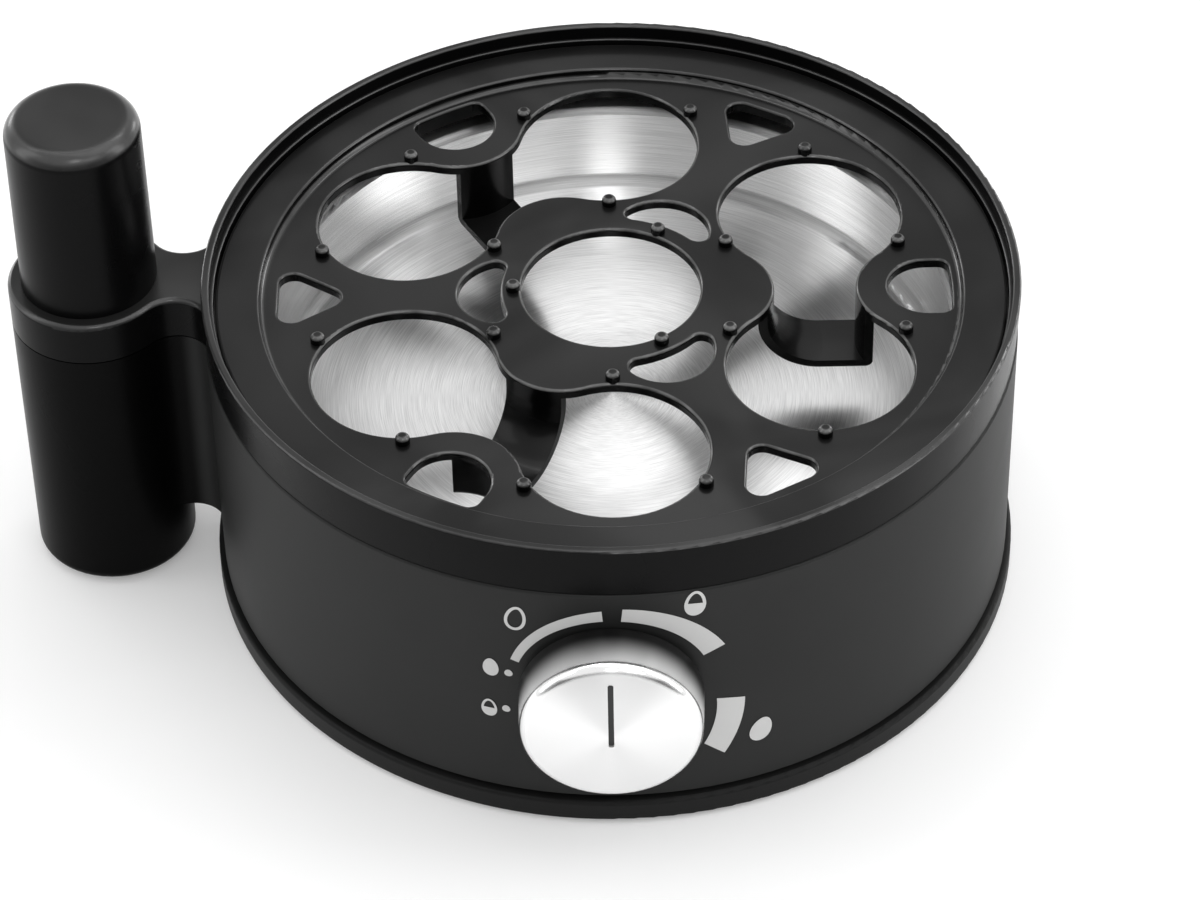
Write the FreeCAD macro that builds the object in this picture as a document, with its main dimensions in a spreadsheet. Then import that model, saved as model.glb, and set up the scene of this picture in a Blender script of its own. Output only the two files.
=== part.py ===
import FreeCAD, Part
import math
import os
import re
import Sketcher

# Egg cooker for seven eggs, in millimetres.
# The origin is on the table under the axis of the round body, +Z is up and the dial faces -Y.

doc = FreeCAD.newDocument("egg_cooker")
sheet = doc.addObject("Spreadsheet::Sheet", "Sizes")

sizes = {
    # Body wall, which sets the radius of the cooker, and the shelf that carries the pan
    "shell_radius": 89.8, "shell_wall": 2.5, "shell_foot": 7.6, "shelf_width": 9.7,
    "shelf_drop": 3.6, "shelf_thickness": 2.4, "boss_inset": 4.4, "boss_radius": 5.0,
    # Collar and lip of the carrier ring
    "rim_height": 80.2, "rim_overhang": 0.2, "lip_wall": 1.9, "lip_depth": 4.3, "lip_round": 0.6,
    "bead_width": 0.7, "bead_height": 1.0, "bead_round": 0.4, "collar_height": 12.6,
    "collar_draft": 0.5, "ledge_width": 6.6, "ledge_thickness": 2.0, "spigot_wall": 1.8,
    "spigot_depth": 1.6, "seam_gap": 0.3, "fit_gap": 0.3,
    # Base plate, feet and screws
    "flange_overhang": 1.3, "flange_height": 5.2, "flange_round": 0.9, "base_floor": 2.4,
    "base_spigot": 4.0, "base_spigot_wall": 2.0, "foot_lift": 1.2, "foot_radius": 7.0,
    "foot_inset": 19.3, "foot_sink": 1.0, "screw_shank": 1.45, "screw_head": 2.9,
    "screw_head_height": 1.2, "screw_grip": 9.0, "screw_play": 0.15,
    # Side grip: column on the body, arm and post on the collar
    "grip_standoff": 25.3, "grip_offset": 2.3, "column_radius": 18.0, "column_round": 2.5,
    "column_bore": 15.0, "column_floor": 3.0, "web_foot": 17.0, "web_sink": 0.9, "flank_ease": 3.45,
    "arm_drop": 2.45, "arm_round": 1.2, "plug_depth": 6.0, "plug_wall": 2.0, "post_radius": 15.0,
    "post_height": 44.0, "post_draft": 0.3, "post_round": 4.0,
    # Egg tray, a loose insert that lies a little turned in the collar
    "tray_turn": 1.0, "tray_ring_width": 9.7, "tray_ring_thickness": 1.9, "tray_wall": 1.6,
    "tray_skirt": 2.4, "plate_drop": 2.2, "plate_thickness": 2.2, "tray_round": 0.7,
    "plate_round": 1.3, "hub_rise": 4.2, "dome_share": 0.94,
    "hole_bridge": 11.1, "hole_margin": 5.1, "centre_less": 0.6, "hub_notch": 8.95,
    "lobe_notch": 9.05, "strap_width": 13.7, "strap_depth": 15.0, "strap_wall": 1.8,
    "strap_floor": 1.8, "strap_round": 1.5, "ramp_round": 11.0,
    "bump_radius": 1.6, "bump_height": 2.1, "bump_offset": 1.75, "bump_root": 1.2, "bump_round": 1.1,
    "lobe_vent_margin": 2.3, "lobe_band": 7.0, "lobe_vent_share": 0.625,
    "spoke_vent_margin": 4.0, "spoke_vent_depth": 16.4, "spoke_vent_width": 22.0,
    "spoke_vent_round": 3.2, "crescent_band": 4.6, "crescent_radius": 10.6, "crescent_shift": 1.2,
    "vent_round": 2.4,
    # Heating pan and heater
    "pan_sheet": 0.8, "pan_play": 0.7, "pan_gap": 1.4, "pan_floor_height": 44.0, "pan_round": 2.5,
    "seal_thickness": 1.0, "seal_width": 6.0, "spreader_radius": 56.0, "spreader_thickness": 2.5,
    "element_circle": 46.0, "element_radius": 3.2, "element_sink": 1.0, "terminal_radius": 2.2,
    "terminal_length": 12.0,
    # Dial
    "dial_height": 38.9, "dial_back_radius": 19.7, "dial_front_radius": 19.3, "dial_depth": 12.6,
    "dial_edge": 2.1, "dial_dome": 1.4, "dial_wall": 1.8, "dial_gap": 0.6, "pointer_length": 17.6,
    "pointer_width": 1.2, "pointer_depth": 0.6, "pointer_sink": 0.55, "pointer_centre": 6.0,
    "hub_radius": 6.5, "shaft_radius": 3.0, "shaft_flat": 1.0, "shaft_play": 0.05, "shaft_reach": 8.5,
    "shaft_tail": 5.0, "bushing_radius": 4.6, "nut_width": 13.0, "nut_thickness": 2.0,
    "switch_width": 24.0, "switch_height": 26.0, "switch_depth": 7.5, "switch_round": 2.0, "switch_gap": 1.1,
    # Electrics
    "sensor_radius": 9.0, "sensor_height": 7.0, "bracket_thickness": 1.0, "bracket_width": 14.0,
    "fuse_radius": 2.6, "fuse_length": 22.0, "block_length": 30.0, "block_width": 16.0,
    "block_height": 14.0, "buzzer_radius": 8.0, "buzzer_height": 7.0, "gland_height": 22.0,
    "gland_radius": 5.5, "gland_flange": 8.5, "gland_flange_depth": 2.5, "gland_bore": 3.4,
    "gland_tail": 8.0, "fuse_place": 24.0, "block_place": 44.0, "buzzer_place": -32.0,
}

# Radii that follow from the body wall, the fits and the bands left between the cut-outs
derived = {
    "rim_radius": "shell_radius + rim_overhang",
    "flange_radius": "shell_radius + flange_overhang",
    "shelf_inner": "shell_radius - shell_wall - shelf_width",
    "boss_circle": "shell_radius - shell_wall - boss_inset",
    "foot_circle": "shell_radius - shell_wall - foot_inset",
    "ledge_inner": "rim_radius - lip_wall - ledge_width",
    "pan_flange": "shell_radius - shell_wall - pan_play",
    "pan_wall": "shelf_inner - pan_gap",
    "grip_reach": "shell_radius + grip_standoff",
    "grip_distance": "sqrt(grip_reach^2 + grip_offset^2)",
    "web_root": "rim_radius - web_sink",
    "flank_radius": "(grip_distance - web_root - column_radius) / 2 + flank_ease",
    "root_span": "web_root + flank_radius",
    "column_span": "column_radius + flank_radius",
    "flank_out": "(grip_distance^2 + root_span^2 - column_span^2) / (2 * grip_distance)",
    "flank_side": "sqrt(root_span^2 - flank_out^2)",
    "tray_ring_inner": "rim_radius - lip_wall - bead_width - fit_gap - tray_ring_width",
    "hole_radius": "(tray_ring_inner - hole_bridge - hole_margin) / 3",
    "hole_circle": "tray_ring_inner - hole_margin - hole_radius",
    "centre_hole": "hole_radius - centre_less",
    "hub_tip": "hole_circle * cos(30) - hub_notch",
    "lobe_tip": "hole_circle * cos(30) + lobe_notch",
    "dome_radius": "dome_share * hole_circle^2 / (2 * hub_rise)",
    "dome_edge": "hole_circle / 2 * (1 + dome_share)",
    "bump_reach": "hole_radius + bump_offset",
    "hub_bump_reach": "centre_hole + bump_offset",
    "lobe_vent_outer": "tray_ring_inner - lobe_vent_margin",
    "lobe_vent_reach": "lobe_tip + lobe_band",
    "lobe_vent_radius": "(lobe_vent_outer - lobe_vent_reach) * lobe_vent_share",
    "spoke_vent_outer": "tray_ring_inner - spoke_vent_margin",
    "spoke_vent_tip": "spoke_vent_outer - spoke_vent_depth",
    "crescent_inner": "centre_hole + crescent_band",
    "crescent_centre": "crescent_inner - crescent_shift",
}

cells = {name: str(amount) for name, amount in sizes.items()}
cells.update({name: f"={rule}" for name, rule in derived.items()})
for row, (name, entry) in enumerate(cells.items(), start=1):
    sheet.set(f"A{row}", name)
    sheet.setAlias(f"B{row}", name)
for row, entry in enumerate(cells.values(), start=1):
    sheet.set(f"B{row}", entry)
doc.recompute()

# Heights and radii that several pieces share
collar_foot = "(rim_height - collar_height)"
shell_top = f"({collar_foot} - seam_gap)"
shelf_top = f"({shell_top} - shelf_drop)"
base_top = "(foot_lift + flange_height)"
floor_top = "(foot_lift + base_floor)"
boss_foot = f"({base_top} + base_spigot)"
tray_top = "(rim_height - lip_depth)"
ledge_top = f"({tray_top} - tray_ring_thickness - fit_gap)"
plate_top = f"({tray_top} - plate_drop)"
plate_foot = f"({plate_top} - plate_thickness)"
strap_foot = f"({plate_foot} - strap_depth)"
lip_inner = "(rim_radius - lip_wall)"
bead_inner = f"({lip_inner} - bead_width)"
tray_outer = f"({bead_inner} - fit_gap)"
spigot_outer = "(shell_radius - shell_wall - fit_gap)"
diagonal = "(boss_circle * sqrt(0.5))"
head_seat = "(foot_lift + screw_head_height)"
pan_top = f"({shelf_top} + seal_thickness + pan_sheet)"
arm_top = "(rim_height - arm_drop)"


def value(text):
    return float(sheet.evalExpression(text))


def tied(text):
    return re.sub(r"[a-z][a-z_]*", lambda word: f"Sizes.{word[0]}" if word[0] in cells else word[0], text)


def new_body(label):
    body = doc.addObject("PartDesign::Body", label)
    body.Label = label
    return body


def origin_item(body, role):
    return next(item for item in body.Origin.OriginFeatures if item.Role == role)


def new_sketch(body, name, plane="XY_Plane", height="0"):
    sketch = body.newObject("Sketcher::SketchObject", name)
    sketch.AttachmentSupport = [(origin_item(body, plane), "")]
    sketch.MapMode = "FlatFace"
    sketch.setExpression("AttachmentOffset.Base.z", tied(height))
    return sketch


def place_along(sketch, geometry, spot, text, kind="DistanceY", axis=-1):
    if text == "0":
        sketch.addConstraint(Sketcher.Constraint("PointOnObject", geometry, spot, axis))
        return
    number = sketch.addConstraint(Sketcher.Constraint(kind, -1, 1, geometry, spot, value(text)))
    sketch.setExpression(f"Constraints[{number}]", tied(text))


def place_across(sketch, geometry, spot, text):
    place_along(sketch, geometry, spot, text, "DistanceX", -2)


def place_point(sketch, geometry, spot, across, along):
    place_across(sketch, geometry, spot, across)
    place_along(sketch, geometry, spot, along)


def set_radius(sketch, geometry, text):
    number = sketch.addConstraint(Sketcher.Constraint("Radius", geometry, value(text)))
    sketch.setExpression(f"Constraints[{number}]", tied(text))


def add_circle(sketch, across, along, radius):
    centre = FreeCAD.Vector(value(across), value(along), 0)
    ring = sketch.addGeometry(Part.Circle(centre, FreeCAD.Vector(0, 0, 1), value(radius)))
    place_point(sketch, ring, 3, across, along)
    set_radius(sketch, ring, radius)


def add_outline(sketch, corners):
    # A corner is (across, along) or (across, along, rounding), each written in named sizes.
    spots = [FreeCAD.Vector(value(corner[0]), value(corner[1]), 0) for corner in corners]
    count = len(corners)
    starts, ends, arcs = list(spots), list(spots), {}
    for i, corner in enumerate(corners):
        if len(corner) < 3:
            continue
        before = (spots[i - 1] - spots[i]).normalize()
        after = (spots[(i + 1) % count] - spots[i]).normalize()
        half = before.getAngle(after) / 2
        rounding = value(corner[2])
        ends[i] = spots[i] + before * (rounding / math.tan(half))
        starts[i] = spots[i] + after * (rounding / math.tan(half))
        middle = spots[i] + (before + after).normalize() * (rounding / math.sin(half) - rounding)
        arcs[i] = Part.Arc(ends[i], middle, starts[i])
    first = sketch.GeometryCount
    for i in range(count):
        sketch.addGeometry(Part.LineSegment(starts[i], ends[(i + 1) % count]))
    for i, corner in enumerate(corners):
        arriving, leaving = first + (i - 1) % count, first + i
        if i not in arcs:
            sketch.addConstraint(Sketcher.Constraint("Coincident", arriving, 2, leaving, 1))
            place_point(sketch, leaving, 1, corner[0], corner[1])
            continue
        arc = sketch.addGeometry(arcs[i])
        from_start = sketch.getPoint(arc, 1).distanceToPoint(ends[i]) < 1e-6
        near, far = (1, 2) if from_start else (2, 1)
        sketch.addConstraint(Sketcher.Constraint("Tangent", arriving, 2, arc, near))
        sketch.addConstraint(Sketcher.Constraint("Tangent", leaving, 1, arc, far))
        set_radius(sketch, arc, corner[2])
        point = sketch.addGeometry(Part.Point(spots[i]), True)
        sketch.addConstraint(Sketcher.Constraint("PointOnObject", point, 1, arriving))
        sketch.addConstraint(Sketcher.Constraint("PointOnObject", point, 1, leaving))
        place_point(sketch, point, 1, corner[0], corner[1])


def revolve(body, name, corners):
    sketch = new_sketch(body, f"{name}_profile", "XZ_Plane")
    add_outline(sketch, corners)
    feature = body.newObject("PartDesign::Revolution", name)
    feature.Profile = sketch
    feature.ReferenceAxis = (sketch, ["V_Axis"])
    feature.Angle = 360
    body.Tip = feature
    return feature


def pad(body, name, sketch, length):
    feature = body.newObject("PartDesign::Pad", name)
    feature.Profile = sketch
    feature.setExpression("Length", tied(length))
    body.Tip = feature
    return feature


def pocket(body, name, sketch, length, upwards=False):
    doc.recompute()
    before = body.Shape.Volume
    feature = body.newObject("PartDesign::Pocket", name)
    feature.Profile = sketch
    feature.setExpression("Length", tied(length))
    feature.Reversed = upwards
    body.Tip = feature
    doc.recompute()
    if body.Shape.Volume > before - 1e-3:
        raise RuntimeError(f"{name} cuts nothing")
    return feature


def repeat(body, name, features, count):
    feature = body.newObject("PartDesign::PolarPattern", name)
    feature.Originals = features
    feature.Axis = (origin_item(body, "Z_Axis"), [""])
    feature.Angle = 360
    feature.Occurrences = count
    body.Tip = feature
    doc.recompute()
    return feature


def round_edges(body, name, radius, chosen):
    doc.recompute()
    base = body.Tip
    edges = [f"Edge{i}" for i, edge in enumerate(base.Shape.Edges, start=1) if chosen(edge)]
    feature = body.newObject("PartDesign::Fillet", name)
    feature.Base = (base, edges)
    feature.setExpression("Radius", tied(radius))
    body.Tip = feature
    doc.recompute()
    return feature


def at_height(edge, height):
    box = edge.BoundBox
    return abs(box.ZMin - height) < 1e-4 and abs(box.ZMax - height) < 1e-4


# Outline of the web: the column, two flank arcs that touch the column and the body, and a root in the wall
def add_web(sketch):
    along = "-grip_reach / grip_distance"
    across = "grip_offset / grip_distance"
    arcs = []
    touches = []
    roots = []
    for side in ("1", "-1"):
        centre_x = f"(({along}) * flank_out - {side} * ({across}) * flank_side)"
        centre_y = f"(({across}) * flank_out + {side} * ({along}) * flank_side)"
        touch_x = f"(-grip_reach + ({centre_x} + grip_reach) * column_radius / column_span)"
        touch_y = f"(grip_offset + ({centre_y} - grip_offset) * column_radius / column_span)"
        root_x = f"({centre_x} * web_root / root_span)"
        root_y = f"({centre_y} * web_root / root_span)"
        touches.append(FreeCAD.Vector(value(touch_x), value(touch_y), 0))
        roots.append(FreeCAD.Vector(value(root_x), value(root_y), 0))
        waist_x = f"{centre_x} + {side} * ({across}) * flank_radius"
        waist_y = f"{centre_y} - {side} * ({along}) * flank_radius"
        waist = FreeCAD.Vector(value(waist_x), value(waist_y), 0)
        arc = sketch.addGeometry(Part.Arc(touches[-1], waist, roots[-1]))
        place_point(sketch, arc, nearest_end(sketch, arc, touches[-1]), touch_x, touch_y)
        place_point(sketch, arc, nearest_end(sketch, arc, roots[-1]), root_x, root_y)
        place_along(sketch, arc, 3, centre_y)
        arcs.append(arc)
    far = FreeCAD.Vector(value("-grip_reach - column_radius"), value("grip_offset"), 0)
    column = sketch.addGeometry(Part.Arc(touches[0], far, touches[1]))
    place_across(sketch, column, 3, "-grip_reach")
    middle = FreeCAD.Vector(value(f"({along}) * web_root"), value(f"({across}) * web_root"), 0)
    inner = sketch.addGeometry(Part.Arc(roots[0], middle, roots[1]))
    place_across(sketch, inner, 3, "0")
    for arc, touch, root in zip(arcs, touches, roots):
        for geometry, spot, other, other_end in (
                (column, touch, arc, nearest_end(sketch, arc, touch)),
                (inner, root, arc, nearest_end(sketch, arc, root))):
            own_end = nearest_end(sketch, geometry, spot)
            sketch.addConstraint(Sketcher.Constraint("Coincident", other, other_end, geometry, own_end))


def nearest_end(sketch, geometry, spot):
    return min((1, 2), key=lambda end: sketch.getPoint(geometry, end).distanceToPoint(spot))


def make_body_shell():
    body = new_body("body_shell")
    inner = "(shell_radius - shell_wall)"
    shelf_foot = f"({shelf_top} - shelf_thickness)"
    revolve(body, "wall", [
        ("shell_radius", "shell_foot"), ("shell_radius", shell_top, "lip_round"), (inner, shell_top),
        (inner, shelf_top), ("shelf_inner", shelf_top), ("shelf_inner", shelf_foot),
        (inner, shelf_foot), (inner, "shell_foot")])
    column = new_sketch(body, "column_plan", height="foot_lift")
    add_circle(column, "-grip_reach", "grip_offset", "column_radius")
    pad(body, "column", column, f"{shell_top} - foot_lift")
    web = new_sketch(body, "web_plan", height="web_foot")
    add_web(web)
    pad(body, "web", web, f"{shell_top} - web_foot")
    round_edges(body, "column_end", "column_round", lambda edge: at_height(edge, value("foot_lift")))
    bore = new_sketch(body, "column_bore_plan", height=shell_top)
    add_circle(bore, "-grip_reach", "grip_offset", "column_bore")
    pocket(body, "column_hollow", bore, f"{shell_top} - foot_lift - column_floor")
    boss = new_sketch(body, "boss_plan", height=boss_foot)
    add_circle(boss, diagonal, diagonal, "boss_radius")
    boss_pad = pad(body, "boss", boss, f"{shelf_foot} - {boss_foot}")
    repeat(body, "bosses", [boss_pad], 4)
    pilot = new_sketch(body, "pilot_plan", height=boss_foot)
    add_circle(pilot, diagonal, diagonal, "screw_shank + screw_play")
    pilot_cut = pocket(body, "pilot", pilot, "screw_grip + 2", upwards=True)
    repeat(body, "pilots", [pilot_cut], 4)
    for name, height, radius, far_side in (
            ("dial_hole", "dial_height", "bushing_radius + fit_gap", False),
            ("gland_hole", "gland_height", "gland_radius + fit_gap", True)):
        plan = new_sketch(body, f"{name}_plan", "XZ_Plane")
        add_circle(plan, "0", height, radius)
        pocket(body, name, plan, "shell_radius + 5", upwards=not far_side)
    return body


def make_base_plate():
    body = new_body("base_plate")
    spigot_inner = f"({spigot_outer} - base_spigot_wall)"
    revolve(body, "floor", [
        ("0", "foot_lift"), ("flange_radius", "foot_lift", "flange_round * 0.5"),
        ("flange_radius", base_top, "flange_round"), (spigot_outer, base_top),
        (spigot_outer, boss_foot), (spigot_inner, boss_foot), (spigot_inner, floor_top),
        ("0", floor_top)])
    stand = new_sketch(body, "stand_plan", height=floor_top)
    add_circle(stand, diagonal, diagonal, "boss_radius - base_spigot_wall / 2")
    repeat(body, "stands", [pad(body, "stand", stand, f"{boss_foot} - {floor_top}")], 4)
    hole = new_sketch(body, "screw_hole_plan")
    add_circle(hole, diagonal, diagonal, "screw_shank + screw_play")
    repeat(body, "screw_holes", [pocket(body, "screw_hole", hole, boss_foot, upwards=True)], 4)
    seat = new_sketch(body, "head_seat_plan")
    add_circle(seat, diagonal, diagonal, "screw_head + screw_play")
    repeat(body, "head_seats", [pocket(body, "head_seat", seat, head_seat, upwards=True)], 4)
    socket = new_sketch(body, "foot_seat_plan")
    add_circle(socket, "foot_circle", "0", "foot_radius")
    repeat(body, "foot_seats", [pocket(body, "foot_seat", socket, "foot_lift + foot_sink", upwards=True)], 4)
    return body


def make_carrier_ring():
    body = new_body("carrier_ring")
    ledge_foot = f"({ledge_top} - ledge_thickness)"
    spigot_foot = f"({shell_top} - spigot_depth)"
    revolve(body, "collar", [
        ("rim_radius - collar_draft", collar_foot), ("rim_radius", "rim_height", "lip_round"),
        (lip_inner, "rim_height", "lip_round"), (lip_inner, f"{tray_top} + bead_height"),
        (bead_inner, f"{tray_top} + bead_height", "bead_round"), (bead_inner, ledge_top),
        ("ledge_inner", ledge_top), ("ledge_inner", ledge_foot),
        (f"{spigot_outer} - spigot_wall", ledge_foot), (f"{spigot_outer} - spigot_wall", spigot_foot),
        (spigot_outer, spigot_foot), (spigot_outer, collar_foot)])
    arm = new_sketch(body, "arm_plan", height=collar_foot)
    add_web(arm)
    pad(body, "arm", arm, f"{arm_top} - {collar_foot}")
    round_edges(body, "arm_edge", "arm_round", lambda edge: at_height(edge, value(arm_top))
                and edge.CenterOfMass.x < -value("rim_radius"))
    plug = new_sketch(body, "plug_plan", height=f"{collar_foot} - plug_depth")
    add_circle(plug, "-grip_reach", "grip_offset", "column_bore - fit_gap")
    pad(body, "plug", plug, "plug_depth")
    hollow = new_sketch(body, "plug_hollow_plan", height=f"{collar_foot} - plug_depth")
    add_circle(hollow, "-grip_reach", "grip_offset", "column_bore - fit_gap - plug_wall")
    pocket(body, "plug_hollow", hollow, "plug_depth", upwards=True)
    hole = new_sketch(body, "grip_hole_plan", height=collar_foot)
    add_circle(hole, "-grip_reach", "grip_offset", "screw_shank + screw_play")
    pocket(body, "grip_hole", hole, "rim_height", upwards=True)
    return body


def make_grip_post():
    body = new_body("grip_post")
    top_radius = "(post_radius - post_height * tan(post_draft))"
    revolve(body, "post", [
        ("screw_shank + screw_play", arm_top), ("post_radius", arm_top),
        (top_radius, f"{arm_top} + post_height", "post_round"), ("0", f"{arm_top} + post_height"),
        ("0", f"{arm_top} + screw_grip + 2"), ("screw_shank + screw_play", f"{arm_top} + screw_grip + 2")])
    body.setExpression("Placement.Base.x", tied("-grip_reach"))
    body.setExpression("Placement.Base.y", tied("grip_offset"))
    return body


# Plan of the egg tray: neighbouring egg holes run into each other through a neck between two round lobes.
# The lobes are tangent to the holes, so their radii follow from the holes and the tips of the lobes.
row_x = "(hole_circle * cos(30))"
row_y = "(hole_circle * sin(30))"
hub_dip = f"({row_x} - hub_tip)"
rim_dip = f"(lobe_tip - {row_x})"
hub_lobe = f"(({hub_dip}^2 + {row_y}^2 - hole_radius^2) / (2 * (hole_radius - {hub_dip})))"
rim_lobe = f"(({rim_dip}^2 + {row_y}^2 - hole_radius^2) / (2 * (hole_radius - {rim_dip})))"
hub_lobe_centre = f"(hub_tip - {hub_lobe})"
rim_lobe_centre = f"(lobe_tip + {rim_lobe})"
lobe_vent_centre = "(lobe_vent_reach + lobe_vent_radius)"


def add_bow(sketch, centre, middle, end_x, end_y):
    # Arc that is symmetrical about the X axis, from its lower end to its upper end.
    low = FreeCAD.Vector(value(end_x), -value(end_y), 0)
    high = FreeCAD.Vector(value(end_x), value(end_y), 0)
    arc = sketch.addGeometry(Part.Arc(low, FreeCAD.Vector(value(middle), 0, 0), high))
    ends = nearest_end(sketch, arc, low), nearest_end(sketch, arc, high)
    place_point(sketch, arc, ends[0], end_x, f"-({end_y})")
    place_point(sketch, arc, ends[1], end_x, end_y)
    place_across(sketch, arc, 3, centre)
    return arc, ends


def join_bows(sketch, one, other):
    (first, first_ends), (second, second_ends) = one, other
    for first_end, second_end in zip(first_ends, second_ends):
        line = sketch.addGeometry(Part.LineSegment(
            sketch.getPoint(first, first_end), sketch.getPoint(second, second_end)))
        sketch.addConstraint(Sketcher.Constraint("Coincident", line, 1, first, first_end))
        sketch.addConstraint(Sketcher.Constraint("Coincident", line, 2, second, second_end))


def add_neck(sketch):
    bows = []
    for centre, radius, tip in (
            (hub_lobe_centre, hub_lobe, "hub_tip"), (rim_lobe_centre, rim_lobe, "lobe_tip")):
        share = f"{radius} / ({radius} + hole_radius)"
        touch_x = f"({centre} + ({row_x} - {centre}) * {share})"
        bows.append(add_bow(sketch, centre, tip, touch_x, f"{row_y} * {share}"))
    join_bows(sketch, bows[0], bows[1])


def add_strap(sketch):
    half = "(strap_width / 2)"
    hub_inner = f"({hub_lobe} - strap_wall)"
    rim_inner = f"({rim_lobe} - strap_wall)"
    hub_bow = add_bow(sketch, hub_lobe_centre, "hub_tip - strap_wall",
                      f"{hub_lobe_centre} + sqrt({hub_inner}^2 - {half}^2)", half)
    rim_bow = add_bow(sketch, rim_lobe_centre, "lobe_tip + strap_wall",
                      f"{rim_lobe_centre} - sqrt({rim_inner}^2 - {half}^2)", half)
    join_bows(sketch, hub_bow, rim_bow)


def add_lobe_vent(sketch):
    side_x = "sqrt(lobe_vent_outer^2 - lobe_vent_radius^2)"
    inner = add_bow(sketch, lobe_vent_centre, f"{lobe_vent_centre} - lobe_vent_radius",
                    lobe_vent_centre, "lobe_vent_radius")
    outer = add_bow(sketch, "0", "lobe_vent_outer", side_x, "lobe_vent_radius")
    join_bows(sketch, inner, outer)


def add_crescent(sketch):
    meet_x = "((crescent_inner^2 + crescent_centre^2 - crescent_radius^2) / (2 * crescent_centre))"
    meet_y = f"sqrt(crescent_inner^2 - {meet_x}^2)"
    inner, inner_ends = add_bow(sketch, "0", "-crescent_inner", f"-{meet_x}", meet_y)
    low, high = (sketch.getPoint(inner, end) for end in inner_ends)
    tip = FreeCAD.Vector(-value("crescent_centre + crescent_radius"), 0, 0)
    outer = sketch.addGeometry(Part.Arc(low, tip, high))
    for inner_end, spot in zip(inner_ends, (low, high)):
        outer_end = nearest_end(sketch, outer, spot)
        sketch.addConstraint(Sketcher.Constraint("Coincident", inner, inner_end, outer, outer_end))
    set_radius(sketch, outer, "crescent_radius")


def dome_at(reach):
    # Rise of the plate towards the hub, at a distance from the axis.
    return f"((dome_edge - ({reach}))^2 / (2 * dome_radius))"


def make_egg_tray():
    body = new_body("egg_tray")
    skirt_foot = f"({plate_foot} - tray_skirt)"
    skirt_inner = "(lobe_vent_outer + tray_round)"
    ring_foot = f"({tray_top} - tray_ring_thickness)"
    hub_top = f"({plate_top} + hub_rise)"
    through = "(plate_thickness + hub_rise)"
    revolve(body, "disc", [
        ("0", f"{plate_foot} + hub_rise"), ("hole_circle / 2", plate_foot, "dome_radius + plate_thickness"),
        (skirt_inner, plate_foot), (skirt_inner, skirt_foot),
        ("tray_ring_inner + tray_wall", skirt_foot), ("tray_ring_inner + tray_wall", ring_foot),
        (tray_outer, ring_foot), (tray_outer, tray_top, "tray_round"),
        ("tray_ring_inner", tray_top, "tray_round"), ("tray_ring_inner", plate_top, "plate_round"),
        ("hole_circle / 2", plate_top, "dome_radius"), ("0", hub_top)])
    strap = new_sketch(body, "strap_plan", height=strap_foot)
    add_strap(strap)
    strap_pad = pad(body, "strap", strap, f"{plate_top} - {strap_foot}")
    repeat(body, "straps", [strap_pad], 3)
    centre = new_sketch(body, "centre_hole_plan", height=hub_top)
    add_circle(centre, "0", "0", "centre_hole")
    pocket(body, "centre_cut", centre, through)
    hole = new_sketch(body, "egg_hole_plan", height=hub_top)
    add_circle(hole, row_x, row_y, "hole_radius")
    hole_cut = pocket(body, "egg_hole", hole, through)
    repeat(body, "egg_holes", [hole_cut], 6)
    for name, outline, depth in (
            ("neck", add_neck, f"{hub_top} - {strap_foot} - strap_floor"),
            ("lobe_vent", add_lobe_vent, through),
            ("crescent", add_crescent, through),
            ("spoke_vent", add_spoke_vent, through)):
        plan = new_sketch(body, f"{name}_plan", height=hub_top)
        outline(plan)
        cut = pocket(body, name, plan, depth)
        repeat(body, f"{name}s", [cut], 3)
    hub_side = value(hub_lobe)
    rim_side = value(f"{rim_lobe} - strap_wall")
    wall = value("strap_wall")
    strap_bed = value(f"{strap_foot} + strap_floor")
    for name, radius, height, side in (
            ("ramps", "ramp_round", strap_bed, hub_side),
            ("ramp_backs", "ramp_round + strap_wall", value(strap_foot), hub_side - wall),
            ("strap_corners", "strap_round", value(strap_foot), rim_side)):
        round_edges(body, name, radius, lambda edge: is_bow(edge, height, side))
    round_edges(body, "vent_corners", "vent_round", is_vent_corner)
    round_edges(body, "top_edges", "tray_round", is_plate_edge)
    hub_rim = "(hole_circle - bump_reach)"
    for name, count, rise, spots in (
            ("bump", 6, "0", [(f"{row_x} + bump_reach * cos({turn})", f"{row_y} + bump_reach * sin({turn})")
                              for turn in (330, 90)]),
            ("inner_bump", 6, dome_at(hub_rim), [(f"{hub_rim} * cos(30)", f"{hub_rim} * sin(30)")]),
            ("hub_bump", 3, dome_at("hub_bump_reach"), [("-hub_bump_reach", "0")])):
        plan = new_sketch(body, f"{name}_plan", height=f"{plate_top} + {rise} - bump_root")
        for across, along in spots:
            add_circle(plan, across, along, "bump_radius")
        repeat(body, f"{name}s", [pad(body, name, plan, "bump_height + bump_root")], count)
        bump_top = value(f"{plate_top} + {rise} + bump_height")
        round_edges(body, f"{name}_tops", "bump_round", lambda edge: at_height(edge, bump_top))
    body.Placement.Rotation = FreeCAD.Rotation(FreeCAD.Vector(0, 0, 1), 1)
    body.setExpression("Placement.Rotation.Angle", tied("tray_turn"))
    return body


def is_bow(edge, height, radius):
    round_one = edge.Curve.TypeId == "Part::GeomCircle"
    return at_height(edge, height) and round_one and abs(edge.Curve.Radius - radius) < 1e-3


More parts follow.
